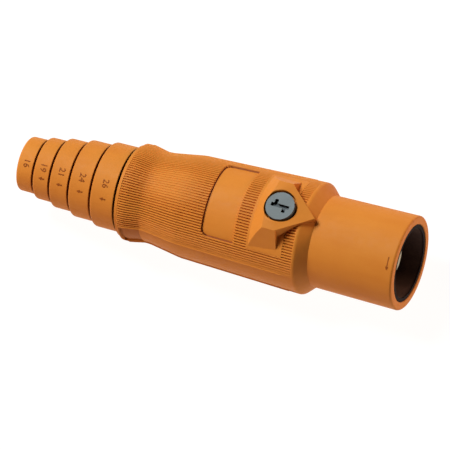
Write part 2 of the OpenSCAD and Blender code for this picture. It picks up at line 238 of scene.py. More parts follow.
SETTINGS = {
    "cam_plug_relief": CamPlugReliefSizes,
    "cam_plug_grip": CamPlugGripSizes,
    "cam_plug_nose": CamPlugNoseSizes,
    "cam_plug_marks": CamPlugMarkSizes,
    "cam_plug_screw": CamPlugScrewSizes,
    "cam_plug_finish": CamPlugFinish,
    "cam_plug_stage": CamPlugStage,
}


class Value:
    """A shader socket that takes part in Python expressions."""

    def __init__(self, surface, socket):
        self.surface = surface
        self.socket = socket

    def _math(self, operation, *values):
        return self.surface.node("ShaderNodeMath", {"operation": operation}, *values)

    def __add__(self, other):
        return self._math("ADD", self, other)

    def __mul__(self, other):
        return self._math("MULTIPLY", self, other)

    __radd__ = __add__
    __rmul__ = __mul__


class Surface:
    """A new material with a Principled shader, and one method that adds any node."""

    def __init__(self, name, **constants):
        self.material = bpy.data.materials.new(name)
        self.material.use_nodes = True
        self.tree = self.material.node_tree
        self.shader = self.tree.nodes["Principled BSDF"]
        for socket, value in constants.items():
            self.shader.inputs[socket.replace("_", " ")].default_value = value
        self.place = self.node("ShaderNodeTexCoord", {}, output="Object")

    def node(self, kind, settings, *values, output=0, **named):
        """Adds a node; values feed its sockets in order, named ones by name, and one output comes back."""
        node = self.tree.nodes.new(kind)
        for key, setting in settings.items():
            setattr(node, key, setting)
        sockets = list(zip((s for s in node.inputs if s.enabled), values))
        sockets += [(node.inputs[key.replace("_", " ")], value) for key, value in named.items()]
        for socket, value in sockets:
            self._feed(socket, value)
        return Value(self, node.outputs[output])

    def _feed(self, socket, value):
        if isinstance(value, Value):
            self.tree.links.new(value.socket, socket)
        elif socket.type == "RGBA":
            socket.default_value = (*value[:3], 1)
        else:
            socket.default_value = value

    def noise(self, scale, detail=2.0, place=None):
        return self.node("ShaderNodeTexNoise", {}, Vector=place or self.place, Scale=scale, Detail=detail)

    def stretched(self, x, y, z):
        return self.node("ShaderNodeVectorMath", {"operation": "MULTIPLY"}, self.place, (x, y, z))

    # The painted shade that a mesh stores on its points.
    def hollow(self):
        return self.node("ShaderNodeAttribute", {"attribute_name": "hollow"}, output="Fac")

    def mix(self, factor, first, second):
        return self.node("ShaderNodeMix", {"data_type": "RGBA"}, factor, first, second, output=2)

    def spread(self, value, low, high, to_low=0.0, to_high=1.0):
        """Maps a value from one range to another, held at its ends."""
        return self.node("ShaderNodeMapRange", {}, value, low, high, to_low, to_high)

    def bump(self, height, distance, strength):
        return self.node("ShaderNodeBump", {}, Height=height, Distance=distance, Strength=strength,
                         output="Normal")

    def use(self, **sockets):
        """Feeds the shader's sockets and gives the finished material."""
        for socket, value in sockets.items():
            self._feed(self.shader.inputs[socket.replace("_", " ")], value)
        return self.material


def times(rgb, factor):
    """A colour made lighter or darker."""
    return tuple(factor * c for c in rgb)


def elastomer(finish):
    """Orange thermoplastic elastomer: satin, with flow mottling, a fine spark-eroded grain, and painted
    shade in its grooves and round its marks.
    """
    surface = Surface("orange_elastomer", Specular_IOR_Level=0.12)
    patches = surface.spread(surface.noise(45, 3), 0.35, 0.7)
    flow = surface.spread(surface.noise(9, 2, surface.stretched(6, 26, 26)), 0.4, 0.75)
    grain = surface.noise(2600)
    peel = surface.noise(420)
    hollow = surface.hollow()
    tone = surface.mix(patches * 0.35 + flow * 0.3, finish.orange, finish.deep_orange)
    tone = surface.mix(surface.spread(grain, 0.5, 0.8, 0, 0.25), tone, finish.deep_orange)
    # Painted shade: the shade colour where a point has a little painted shade, near black where it has the
    # most.
    tone = surface.mix(surface.spread(hollow, 0, 0.6), tone, finish.shade)
    tone = surface.mix(surface.spread(hollow, 0.6, 0.9), tone, finish.soot)
    return surface.use(
        Base_Color=tone,
        Roughness=surface.spread(peel, 0.3, 0.7, 0.56, 0.68),
        Normal=surface.bump(grain * 0.6 + peel * 0.7, 0.00012, 0.55))


def carrier_plastic(finish):
    """Black glass-filled plastic, dull, with a fine grain and dust; painted light makes it darker at its
    front ring and lighter and browner behind it, and the dust patches lighten it only there.
    """
    surface = Surface("black_plastic", Specular_IOR_Level=0.03)
    grain = surface.noise(1900)
    dust = surface.spread(surface.noise(160, 3), 0.55, 0.8, 0, 0.5)
    along = surface.node("ShaderNodeSeparateXYZ", {}, surface.place, output="X")
    # Painted light: the colour turns from half the black at the front ring to three times the black further
    # in.
    inside = surface.spread(along, CARRIER_HIGH.x - 0.2 * MM, CARRIER_HIGH.x - 1.2 * MM)
    tone = surface.mix(inside, times(finish.black, 0.5), times(finish.black, 3))
    return surface.use(
        Base_Color=surface.mix(dust * inside, tone, times(finish.black, 5)),
        Roughness=surface.spread(dust, 0, 0.5, 0.65, 0.8),
        Normal=surface.bump(grain, 0.0001, 0.4))


def turned_brass(finish):
    """Turned brass with fine tool rings about the axis and a pale plated skin."""
    surface = Surface("contact_brass", Metallic=0.7)
    rings = surface.node("ShaderNodeTexWave", {"wave_type": "BANDS", "bands_direction": "X"},
                         Vector=surface.place, Scale=900, Distortion=0.6, Detail=1, output="Fac")
    smudge = surface.spread(surface.noise(120, 3), 0.35, 0.75)
    return surface.use(
        Base_Color=surface.mix(smudge * 0.6, finish.brass, times(finish.brass, 0.72)),
        Roughness=surface.spread(smudge, 0, 1, 0.4, 0.55),
        Normal=surface.bump(rings, 0.00003, 0.5))


def screw_nylon(finish):
    """Blue-grey filled nylon: satin, faintly cloudy, with a fine grain, and painted shade in its driver
    slot.
    """
    surface = Surface("grey_nylon", Specular_IOR_Level=0.3)
    cloud = surface.spread(surface.noise(260, 3), 0.35, 0.7)
    grain = surface.noise(3200)
    tone = surface.mix(cloud, finish.screw, times(finish.screw, 1.5))
    return surface.use(
        # Painted shade: near black where the slot's painted shade is full.
        Base_Color=surface.mix(surface.hollow(), tone, times(finish.screw, 0.08)),
        Roughness=surface.spread(cloud, 0, 1, 0.42, 0.55),
        Normal=surface.bump(grain, 0.00006, 0.5))


def blackened_steel(finish):
    """Black-oxide steel of the set screws, with worn spots."""
    surface = Surface("dark_steel", Metallic=1.0)
    wear = surface.spread(surface.noise(700, 3), 0.55, 0.75)
    return surface.use(
        Base_Color=surface.mix(wear, finish.steel, times(finish.steel, 2.2)),
        Roughness=surface.spread(wear, 0, 1, 0.45, 0.3),
        Normal=surface.bump(surface.noise(1500), 0.00004, 0.5))


def studio_floor(finish, glow):
    """Pale matt floor, lit from within like a light table, with a barely visible tooth."""
    surface = Surface("studio_floor", Specular_IOR_Level=0.1, Emission_Strength=glow,
                      Emission_Color=(1, 0.985, 0.97, 1))
    tooth = surface.noise(300)
    return surface.use(
        Base_Color=surface.mix(surface.spread(tooth, 0.4, 0.6), finish.floor, times(finish.floor, 0.985)),
        Roughness=surface.spread(tooth, 0.3, 0.7, 0.75, 0.85))


def dress(piece, material):
    """Gives a piece its one material."""
    piece.data.materials.clear()
    piece.data.materials.append(material)


def linked(name, data):
    """A new object of a mesh, curve, light or camera, in the scene."""
    piece = bpy.data.objects.new(name, data)
    bpy.context.scene.collection.objects.link(piece)
    return piece


def modified(piece, kind, **settings):
    """Adds a modifier to a piece."""
    modifier = piece.modifiers.new(kind.title(), kind)
    for key, value in settings.items():
        setattr(modifier, key, value)


def evaluated_mesh(piece):
    """The mesh that a piece has after its modifiers, or that its text makes."""
    graph = bpy.context.evaluated_depsgraph_get()
    return bpy.data.meshes.new_from_object(piece.evaluated_get(graph))


def applied(piece):
    """Bakes a piece's modifiers into its mesh."""
    mesh = evaluated_mesh(piece)
    piece.modifiers.clear()
    piece.data = mesh
    return piece


def smooth(piece):
    """Shades a piece smooth between its creases, with each large face's normal kept."""
    crease = math.radians(38)
    piece.data.polygons.foreach_set("use_smooth", [True] * len(piece.data.polygons))
    piece.data.set_sharp_from_angle(angle=crease)
    modified(piece, "WEIGHTED_NORMAL", weight=60, keep_sharp=True)


def mark_hollows(mesh, hollows):
    """Stores how much painted shade each point gets, from 0 to 1; the materials paint it darker where shade
    falls in grooves, slots, along walls and round the marks.
    """
    mesh.attributes.new("hollow", "FLOAT", "POINT").data.foreach_set("value", hollows)


class Skin:
    """Rings of points about the X axis, joined to a closed surface."""

    def __init__(self):
        self.points = []
        self.faces = []
        self.hollows = []

    def ring(self, turns, x, radius, hollow=0.0):
        """turns are angles from the boss; x, radius and hollow are numbers or one value for each turn.

        The last value is the painted shade that a point gets, from 0 to 1, darker where shade falls in
        grooves and along walls.
        """
        first = len(self.points)
        x, radius, hollow = (np.broadcast_to(value, turns.shape) for value in (x, radius, hollow))
        self.points += list(zip(x, -radius * np.sin(turns), radius * np.cos(turns)))
        self.hollows += list(hollow)
        return turns, first

    def join(self, ring_a, ring_b):
        """Joins two rings with quads, or with triangles where their numbers of points differ."""
        (turns_a, a), (turns_b, b) = ring_a, ring_b
        count_a, count_b = len(turns_a), len(turns_b)
        if count_a == count_b:
            for i in range(count_a):
                j = (i + 1) % count_a
                self.faces.append((a + i, a + j, b + j, b + i))
            return
        full = 2 * math.pi
        i = j = 0
        while i < count_a or j < count_b:
            next_a = turns_a[i + 1] if i + 1 < count_a else full + turns_a[(i + 1) % count_a]
            next_b = turns_b[j + 1] if j + 1 < count_b else full + turns_b[(j + 1) % count_b]
            if j == count_b or (i < count_a and next_a <= next_b):
                self.faces.append((a + i % count_a, a + (i + 1) % count_a, b + j % count_b))
                i += 1
            else:
                self.faces.append((a + i % count_a, b + (j + 1) % count_b, b + j % count_b))
                j += 1

    def lathe(self, turns, outline, last=None):
        """Rings through an outline of (x, radius) or (x, radius, painted shade), joined to the ring before
        them.
        """
        for point in outline:
            ring = self.ring(turns, *point)
            if last:
                self.join(last, ring)
            last = ring
        return last

    def mesh(self, name):
        mesh = bpy.data.meshes.new(name)
        mesh.from_pydata(self.points, [], self.faces)
        mark_hollows(mesh, self.hollows)
        shape = bmesh.new()
        shape.from_mesh(mesh)
        bmesh.ops.recalc_face_normals(shape, faces=shape.faces)
        shape.to_mesh(mesh)
        shape.free()
        return mesh


def arc(x, radius, rounding, start, end, steps=5):
    """Points on a rounded edge; angles are in degrees, 90 being outward and 0 forward."""
    turns = np.radians(np.linspace(start, end, steps + 1))
    return [(x + rounding * math.cos(t), radius + rounding * math.sin(t)) for t in turns]


def softened(outline, cut=0.00012):
    """Replaces each sharp corner of an outline by two points close beside it."""
    points = [Vector(p) for p in outline]
    result = [tuple(points[0])]
    for before, here, after in zip(points, points[1:], points[2:]):
        back, on = before - here, after - here
        if back.length > 4 * cut and on.length > 4 * cut:
            result += [tuple(here + back.normalized() * cut), tuple(here + on.normalized() * cut)]
        else:
            result.append(tuple(here))
    return result + [tuple(points[-1])]


def band_start(relief, k):
    """Distance from the plug's rear end to a band, or to the last band's front end."""
    return k * relief.rear_len + relief.len_step * k * (k - 1) / 2


def band_rear(relief, k):
    """Distance from the plug's rear end at which a band's own surface begins, past its trim groove."""
    return band_start(relief, k) + (relief.groove_w if k else 0)


def band_radius(relief, k):
    """Radius at a band's rear edge."""
    return relief.rear_r + k * (relief.front_r - relief.rear_r) / (relief.bands - 1)


def passage_radius(relief, k):
    """Radius of the cable passage inside a band."""
    return relief.entry_r + k * relief.entry_step


def collar_radius(grip):
    """Radius of the plain collar, a little below the bulge."""
    return grip.bulge_r - 1.2 * MM


def relief_outline(relief, grip):
    """Outline of the strain relief and the collar, from the rear end to the foot of the bulge.

    The points in the trim grooves get painted shade, deeper towards the floor, and those round the rear end
    don't.
    """
    edge, lip = 0.4 * MM, 0.2 * MM
    outline = []
    for k in range(relief.bands):
        radius = band_radius(relief, k)
        start, end = SLEEVE_LOW.x + band_rear(relief, k), SLEEVE_LOW.x + band_start(relief, k + 1)
        crest = radius + relief.taper
        floor_r = crest - relief.groove_d
        band = arc(start + relief.rounding, radius - relief.rounding, relief.rounding, 180, 90)
        band += arc(end - edge, crest - edge, edge, 90, 0, 3)
        band += [(end, floor_r), (end + relief.groove_w, floor_r)]
        outline += [(x, r, min((crest - r) / relief.groove_d * (k > 0 or x >= end), 1)) for x, r in band]
    collar = collar_radius(grip)
    wall, foot = end + relief.last_groove_w, end + grip.collar_len
    ribs_start, ribs_floor = foot - 0.5 * MM, collar - grip.rib_depth
    # The last groove and the foot of the ribs get full painted shade.
    outline[-1] = (wall, floor_r, 1)
    return outline + [(wall, collar - 2 * lip, 1), (wall, collar - lip, 0), (wall + lip, collar),
                      (ribs_start, collar), (ribs_start, ribs_floor, 1), (foot, ribs_floor, 1)]


def passage_outline(relief, nose):
    """Outline of the cable passage and the carrier's seat, from the mouth back to the rear end."""
    seat_r, seat_front, seat_rear = 15.9 * MM, -4.1 * MM, CARRIER_LOW.x - 0.1 * MM
    outline = [(SLEEVE_HIGH.x, nose.mouth_r + 0.3 * MM), (SLEEVE_HIGH.x - 0.4 * MM, nose.mouth_r),
               (seat_front, nose.mouth_r), (seat_front, seat_r), (seat_rear, seat_r)]
    for k in reversed(range(relief.bands)):
        radius = passage_radius(relief, k)
        front = SLEEVE_LOW.x + band_start(relief, k + 1) if k < relief.bands - 1 else seat_rear
        outline += [(front, radius), (SLEEVE_LOW.x + band_start(relief, k), radius)]
    return outline


def step(values, edge, width=0.3 * MM):
    """Rises smoothly from 0 to 1 across an edge."""
    t = np.clip((values - edge) / width + 0.5, 0, 1)
    return t * t * (3 - 2 * t)


class Grip:
    """The ribbed grip as a depth below its smooth turned surface.

    groove_parts are shares of the ribs' pitch, from a groove's middle, and groove_shape its depth there.
    shallow_angles are degrees from the middle of the upper or lower face, and bead_angles are radians
    from the bead's crest. The hollows are painted shade: they say how dark the colour is painted where shade
    falls.
    """

    groove_parts, groove_shape = (0.15, 0.25, 0.34), (1, 0.22, 0)
    shallow_angles, shallow_shape = (12, 36, 48, 60), (1, 0, 0, 0.7)
    bead_angles, bead_shape = (0.003, 0.014), (1, 0)
    ledge_land = math.radians(2.4)
    # Painted shade in the rib grooves, at the foot of the panel's wall and in the pocket.
    groove_hollow, wall_hollow, pocket_hollow = 0.14, 0.9, 0.3
    side_softness = math.radians(0.5)

    def __init__(self, grip, relief, nose):
        self.grip = grip
        self.start = SLEEVE_LOW.x + band_start(relief, relief.bands) + grip.collar_len
        self.crest = self.start + grip.bulge_len
        self.waist = self.start + grip.bulge_len + grip.bulge_to_waist
        self.taper = self.waist + grip.waist_to_grip
        self.front = self.taper + grip.grip_len
        self.edge = self.front - grip.rounding
        self.ribs_end = self.edge - grip.rib_land
        self.nose_x = self.front + nose.shoulder_len
        self.panel_front = self.front - grip.panel_setback
        self.panel_rear = self.panel_front - grip.panel_len
        self.nose = nose

    def straight(self, x):
        """Radius of the straight taper."""
        g = self.grip
        return g.rear_r + (g.front_r - g.rear_r) * (x - self.taper) / g.grip_len

    def radius(self, x):
        """Radius of the smooth surface."""
        g = self.grip
        if x < self.crest:
            return g.bulge_r
        if x < self.waist:
            return self.blend(g.bulge_r, g.waist_r, (x - self.crest) / (self.waist - self.crest))
        if x < self.taper:
            return self.blend(g.waist_r, g.rear_r, (x - self.waist) / (self.taper - self.waist))
        if x <= self.edge:
            return self.straight(x)
        centre = self.straight(self.edge) - g.rounding
        bend = self.edge + g.rounding * math.cos(g.shoulder_turn)
        if x <= bend:
            return centre + math.sqrt(max(g.rounding ** 2 - (x - self.edge) ** 2, 0))
        knee = centre + g.rounding * math.sin(g.shoulder_turn)
        return knee + (self.nose.root_r - knee) * (x - bend) / (self.nose_x - bend)

    @staticmethod
    def blend(a, b, t, ends=0.16):
        """Straight cone from a to b, eased over a share of its length at each end."""
        rise = 1 / (1 - ends)
        near = min(t, 1 - t)
        share = rise * near * near / (2 * ends) if near < ends else rise * (near - ends / 2)
        return a + (b - a) * (share if t < 0.5 else 1 - share)

    def turns(self):
        """Angles of the columns: six to each rib, and a few across each side."""
        g = self.grip
        parts = [-part for part in reversed(self.groove_parts)] + list(self.groove_parts)
        count = int((g.ledge - g.rib_pitch / 2) / g.rib_pitch)
        face = [(i + part) * g.rib_pitch for i in range(-count, count + 1) for part in parts]
        soft = self.side_softness
        side = [g.ledge + soft * k for k in (-4, -2.9, -1.7, -1, -0.25, 0.25, 1, 2.6, 3.4)]
        side += list(np.linspace(g.ledge + 5 * soft, math.pi / 2, 8))
        side += [math.pi - t for t in reversed(side[:-1])]
        turns = face + side + [t + math.pi for t in face] + [t + math.pi for t in side]
        return np.array(turns)

    def stations(self):
        """Places of the rings along the axis, closer together where an edge crosses."""
        g = self.grip
        near = np.array([-0.45, -0.15, 0.0, 0.15, 0.45]) * MM
        on_bulge, on_taper, round_boss, closest = 0.0021, 0.0031, 0.0013, 0.00008
        edges = [self.panel_rear, self.panel_front, self.panel_front + g.short_band,
                 self.front - g.front_band, self.start + g.pocket_lip, self.crest,
                 self.start + g.pocket_len, self.ribs_end]
        places = [self.start, self.start + 0.3 * MM]
        places += list(np.arange(self.start + MM, self.taper, on_bulge))
        places += list(np.arange(self.taper, self.edge, on_taper))
        places += [edge + offset for edge in edges for offset in near]
        places += list(np.linspace(self.panel_rear + 0.7 * MM, self.panel_rear + g.panel_corner, 6))
        places += list(np.arange(SCREW_X - 11 * MM, SCREW_X + 9.5 * MM, round_boss))
        places += list(self.edge + g.rounding * np.cos(np.linspace(math.pi / 2, g.shoulder_turn, 5)))
        places += list(np.linspace(self.front, self.nose_x, 4))
        places = sorted(places)
        return [p for p, after in zip(places, places[1:] + [1]) if after - p > closest]

    def groove(self, x, from_face):
        """Share of its full depth that a groove has at each angle.

        In front of the waist the grooves fade out towards the ledges. Behind the panel they are also
        shallower on top and low on the sides.
        """
        g = self.grip
        place = from_face / g.rib_pitch
        shape = np.interp(np.abs(place - np.round(place)), self.groove_parts, self.groove_shape)
        fade = np.clip((g.ledge - from_face) / (g.ledge - g.rib_full), 0, 1)
        fade = np.maximum(fade, 1 - step(x, self.waist, MM))
        around = np.interp(np.degrees(from_face), self.shallow_angles, self.shallow_shape)
        reach = [self.waist - 4 * MM, self.waist + 4 * MM, self.panel_rear - 14 * MM, self.panel_rear]
        fade = fade * (1 - (1 - g.shallow) * around * np.interp(x, reach, [0, 1, 1, 0]))
        return shape * fade * (from_face < g.ledge - self.ledge_land)

    def depth(self, x, turns):
        """Depth below the smooth surface at each angle, and how much painted shade the place gets."""
        g = self.grip
        from_face = np.abs((turns + math.pi / 2) % math.pi - math.pi / 2)
        zones = 1 - step(x, self.panel_rear + MM)
        zones += step(x, self.panel_front - 0.5 * MM) * (1 - step(x, self.panel_front + g.short_band))
        zones += step(x, self.front - g.front_band)
        ribs = self.groove(x, from_face) * np.where(from_face <= g.panel_half, min(zones, 1), 1)
        ribs = ribs * (1 - step(x, self.ribs_end))
        panel, panel_painted_shade = self.panel(x, from_face)
        strip, strip_painted_shade = self.strips(x, from_face)
        from_bead = np.abs(from_face - g.ledge + g.rib_pitch / 3)
        bead = g.bead_h * np.interp(from_bead, self.bead_angles, self.bead_shape)
        bead = bead * step(x, self.crest, MM) * (1 - step(x, self.front - g.front_band))
        depth = np.maximum.reduce([g.rib_depth * ribs, panel, strip, self.flat(x, turns)]) - bead
        return depth, np.maximum.reduce([self.groove_hollow * ribs, panel_painted_shade, strip_painted_shade])

    def flat(self, x, turns):
        """Small flat along the foot of the taper, on which the soft grip lies."""
        from_foot = np.abs(turns % (2 * math.pi) - math.pi)
        level = self.straight(x) - self.grip.rest_flat
        below = self.radius(x) - level / np.cos(np.minimum(from_foot, math.pi / 4))
        return np.where(from_foot < math.pi / 12, np.maximum(below, 0), 0)

    def panel(self, x, from_face):
        """Sunk panel with rounded rear corners, with painted shade along the foot of its wall."""
        g = self.grip
        across = (g.panel_half - from_face) * self.radius(x)
        along = x - self.panel_rear
        corner = g.panel_corner
        inset = np.where((along < corner) & (across < corner),
                         corner - np.hypot(corner - along, corner - across),
                         np.minimum(along, across))
        within = step(inset, 0) * (1 - step(x, self.panel_front))
        return g.panel_depth * within, np.clip(1.6 - inset / (0.4 * MM), 0, self.wall_hollow) * within

    def strips(self, x, from_face):
        """Sunk strips between the ledges, and the deeper pocket from the bulge to the waist, with a little
        painted shade in the pocket.
        """
        g = self.grip
        in_strip = step(from_face, g.ledge, self.side_softness)
        in_strip = in_strip * step(x, self.crest) * (1 - step(x, self.ribs_end))
        in_pocket = step(from_face, g.ledge + g.rib_pitch / 2, self.side_softness)
        in_pocket = in_pocket * step(x, self.start + g.pocket_lip) * (1 - step(x, self.start + g.pocket_len))
        depth = np.maximum(g.strip_depth * in_strip, g.pocket_depth * in_pocket)
        return depth, self.pocket_hollow * in_pocket


def nose_outline(nose, root):
    """Outline of the nose, from its root to the mouth's rounded outer edge."""
    edge = SLEEVE_HIGH.x - nose.rounding
    slope = (nose.tip_r - nose.root_r) / (SLEEVE_HIGH.x - root)
    outline = [(root + 0.4 * MM, nose.root_r + 0.1 * MM)]
    outline += [(x, nose.root_r + slope * (x - root)) for x in np.linspace(root + 1.2 * MM, edge - MM, 9)]
    return outline + arc(edge, nose.tip_r - nose.rounding, nose.rounding, 90, 0, 7)


def sleeve_skin(relief, grip_sizes, nose):
    """The moulding's closed skin without the boss: outside from rear to mouth, then the passage back."""
    grip = Grip(grip_sizes, relief, nose)
    skin = Skin()
    plain = np.linspace(0, 2 * math.pi, 144, endpoint=False)
    fine = np.sort(grip.turns() % (2 * math.pi))
    passage = softened(passage_outline(relief, nose))
    first = skin.lathe(plain, passage[-1:])
    last = skin.lathe(plain, relief_outline(relief, grip_sizes), first)
    foot = None
    for x in grip.stations():
        depth, hollow = grip.depth(x, fine)
        ring = skin.ring(fine, x, grip.radius(x) - depth, hollow)
        if foot is None:
            # The foot ring of the ribs gets full painted shade.
            foot = skin.ring(fine, x, collar_radius(grip_sizes) - grip_sizes.rib_depth, 1)
            skin.join(last, foot)
            last = foot
        skin.join(last, ring)
        last = ring
    last = skin.lathe(plain, nose_outline(nose, grip.nose_x) + passage[:-1], last)
    skin.join(last, first)
    return linked("sleeve_skin", skin.mesh("sleeve_skin")), grip


def prism(name, outline, axis, low, high):
    """A closed prism along an axis, between two levels; its outline is given in the other two axes."""
    place = "XYZ".index(axis)
    shape = bmesh.new()
    bottom, top = ([shape.verts.new((*point[:place], level, *point[place:])) for point in outline]
                   for level in (low, high))
    shape.faces.new(bottom)
    shape.faces.new(top)
    for i in range(len(outline)):
        j = (i + 1) % len(outline)
        shape.faces.new((bottom[i], bottom[j], top[j], top[i]))
    return finished(name, shape)


def lathed(name, outline, segments=128, place=None):
    """A closed solid turned about the X axis; where its outline meets the axis it ends in a flat disc."""
    skin = Skin()
    turns = np.linspace(0, 2 * math.pi, segments, endpoint=False)
    rings = [skin.ring(turns, x, radius) for x, radius in outline if radius > 0]
    ended = any(radius <= 0 for _, radius in outline)
    for a, b in zip(rings, rings[1:] + ([] if ended else rings[:1])):
        skin.join(a, b)
    if ended:
        for _, first in (rings[0], rings[-1]):
            skin.faces.append(tuple(range(first, first + segments)))
    mesh = skin.mesh(name)
    if place:
        mesh.transform(place)
    return linked(name, mesh)


def upright_disc(name, radius, low, high, segments=96):
    """A cylinder about the Z axis."""
    turns = np.linspace(0, 2 * math.pi, segments, endpoint=False)
    return prism(name, [(radius * math.cos(t), radius * math.sin(t)) for t in turns], "Z", low, high)


def finished(name, shape):
    """Turns a bmesh into a piece whose faces look outward."""
    bmesh.ops.recalc_face_normals(shape, faces=shape.faces)
    mesh = bpy.data.meshes.new(name)
    shape.to_mesh(mesh)
    shape.free()
    return linked(name, mesh)


def cut(piece, tool, operation, solver="EXACT"):
    """Applies a boolean to a piece and deletes the tool."""
    modified(piece, "BOOLEAN", operation=operation, object=tool, solver=solver)
    applied(piece)
    bpy.data.objects.remove(tool)


def screw_boss(grip, nose):
    """The arrow-shaped boss, cut from a turned ramp by its facets."""
    half, flat, top = nose.boss_edge, nose.boss_flat, SLEEVE_HIGH.z
    low_z, core_r = 14.5 * MM, 17.5 * MM
    edge_z = top - nose.boss_drop
    flank = half + (edge_z - low_z) / math.tan(nose.flank)
    foot, tip, wall = SCREW_X - nose.ramp_reach, SCREW_X + nose.tip_reach, SCREW_X + nose.wall_reach
    foot_r, high_r = grip.radius(foot), math.hypot(half, top) + MM
    back, ahead, above, side = foot - MM, tip + MM, top + MM, flank + MM
    fall = (ahead - SCREW_X) * math.tan(nose.arrow_slope)
    ramp_end = foot + (high_r - foot_r) / math.tan(nose.ramp)
    ramp = [(foot, core_r), (foot, foot_r), (ramp_end, high_r), (ahead, high_r), (ahead, core_r)]
    facets = [(-flank, low_z), (-half, edge_z), (-flat, top), (flat, top), (half, edge_z), (flank, low_z)]
    arrow = [(back, -side), (wall, -side), (wall, -half), (tip, 0), (wall, half), (wall, side), (back, side)]
    slope = [(back, 0), (back, above), (SCREW_X, above), (SCREW_X, top), (ahead, top - fall), (ahead, 0)]
    boss = lathed("boss", ramp)
    cut(boss, prism("facets", facets, "X", back, ahead + MM), "INTERSECT")
    cut(boss, prism("arrow", arrow, "Z", 0, above), "INTERSECT")
    cut(boss, prism("slope", slope, "Y", -side, side), "INTERSECT")
    modified(boss, "BEVEL", width=nose.boss_softness, segments=3, limit_method="ANGLE",
             angle_limit=math.radians(24), harden_normals=False)
    return applied(boss)


def screw_pocket(nose, screw):
    """The space that the retaining screw takes in the sleeve, with its rim broken."""
    head_r = HEAD_R + nose.head_gap
    seat, top, low = SCREW_HIGH.z - screw.head_h, SLEEVE_HIGH.z, 14 * MM
    shank_r = screw.shank_r + 0.1 * MM
    rim = nose.boss_softness
    outline = [(low, 0), (low, shank_r), (seat, shank_r), (seat, head_r), (top - rim, head_r),
               (top + rim, head_r + 2 * rim), (top + rim, 0)]
    return lathed("pocket", outline, 96, Matrix.Translation((SCREW_X, 0, 0)) @ UPRIGHT)


def raised_digits(digits, size):
    """Flat mesh of some digits, centred, as (x, y) points and faces."""
    curve = bpy.data.curves.new("digits", "FONT")
    curve.body = digits
    curve.size = size
    curve.align_x = "CENTER"
    curve.align_y = "CENTER"
    curve.resolution_u = 3
    holder = linked("digits", curve)
    mesh = evaluated_mesh(holder)
    bpy.data.objects.remove(holder)
    return [tuple(v.co[:2]) for v in mesh.vertices], [tuple(p.vertices) for p in mesh.polygons]


def raised_arrow(size, head):
    """Flat arrow along x, as (x, y) points and faces."""
    end, neck, bar, barb = size / 2, size / 2 - head, head * 0.16, head / 2
    points = [(-end, -bar), (neck, -bar), (neck, bar), (-end, bar), (neck, -barb), (end, 0), (neck, barb)]
    return points, [(0, 1, 2, 3), (4, 5, 6, 2, 1)]


def wrap_mark(shape, hollows, flat, place, radius, height, along=False):
    """Raises a flat mark on a round surface; place is its (x, angle), along turns it towards the rear.

    The walls stand on the mark's outer edges, which only one of its faces has.
    """
    points, faces = flat
    x, turn = place
    rows = []
    # Painted shade round the raised marks: near black at their foot and mostly shade-coloured on their tops.
    for level, hollow in ((-height, 0.9), (height, 0.5)):
        row = []
        for a, b in points:
            if along:
                a, b = -b, -a
            t, r = turn + a / radius, radius + level
            row.append(shape.verts.new((x + b, -r * math.sin(t), r * math.cos(t))))
            hollows.append(hollow)
        rows.append(row)
    low, top = rows
    walls = {}
    for face in faces:
        shape.faces.new([top[i] for i in face])
        for i, j in zip(face, face[1:] + face[:1]):
            edge = (min(i, j), max(i, j))
            walls[edge] = None if edge in walls else (i, j)
    for i, j in filter(None, walls.values()):
        shape.faces.new((low[i], low[j], top[j], top[i]))


def settings():
    """The scene's groups of sizes and colours, by short name."""
    scene = bpy.context.scene
    return {name.replace("cam_plug_", ""): getattr(scene, name) for name in SETTINGS}


class CAMPLUG_OT_sleeve(bpy.types.Operator):
    """Build the orange sleeve's moulded skin with its ribs, panel and screw boss"""

    bl_idname = "camplug.sleeve"
    bl_label = "Sleeve"

    def execute(self, context):
        own = settings()
        skin, grip = sleeve_skin(own["relief"], own["grip"], own["nose"])
        cut(skin, screw_boss(grip, own["nose"]), "UNION", "MANIFOLD")
        cut(skin, screw_pocket(own["nose"], own["screw"]), "DIFFERENCE", "MANIFOLD")
        smooth(skin)
        dress(skin, elastomer(own["finish"]))
        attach(skin, "root")
        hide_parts("insulating_sleeve")
        return {"FINISHED"}


class CAMPLUG_OT_screw(bpy.types.Operator):
    """Build the grey retaining screw with its notched driver slot"""

    bl_idname = "camplug.screw"
    bl_label = "Retaining screw"

    def execute(self, context):
        own = settings()
        sizes = own["screw"]
        top, low = SCREW_HIGH.z, SCREW_LOW.z
        seat = top - sizes.head_h
        screw = upright_disc("retaining_screw_finished", HEAD_R, seat, top)
        cut(screw, upright_disc("shank", sizes.shank_r, low, seat + MM, 64), "UNION")
        half_w, end = sizes.slot_w / 2, sizes.slot_len / 2
        near, far = sizes.notch_at - half_w, sizes.notch_at + half_w
        lower = [(-end, -half_w), (near, -half_w), (near, -sizes.notch_reach), (far, -sizes.notch_reach),
                 (far, -half_w), (end, -half_w)]
        slot = lower + [(-x, -y) for x, y in lower]
        cut(screw, prism("slot", slot, "Z", top - sizes.slot_d, top + MM), "DIFFERENCE")
        modified(screw, "BEVEL", width=sizes.softness, segments=3, limit_method="ANGLE",
                 angle_limit=math.radians(30))
        applied(screw)
        # Painted shade in the driver slot, darker towards its floor.
        slot_r, fullness = 0.8 * HEAD_R, 1.4
        slot_painted_shade = [fullness * (top - v.co.z) / sizes.slot_d * (math.hypot(v.co.x, v.co.y) < slot_r)
                   for v in screw.data.vertices]
        mark_hollows(screw.data, np.clip(slot_painted_shade, 0, 1))
        screw.data.transform(Matrix.Translation((SCREW_X, 0, 0)) @ Matrix.Rotation(-sizes.turn, 4, "Z"))
        smooth(screw)
        dress(screw, screw_nylon(own["finish"]))
        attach(screw, "root")
        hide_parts("retaining_screw")
        return {"FINISHED"}


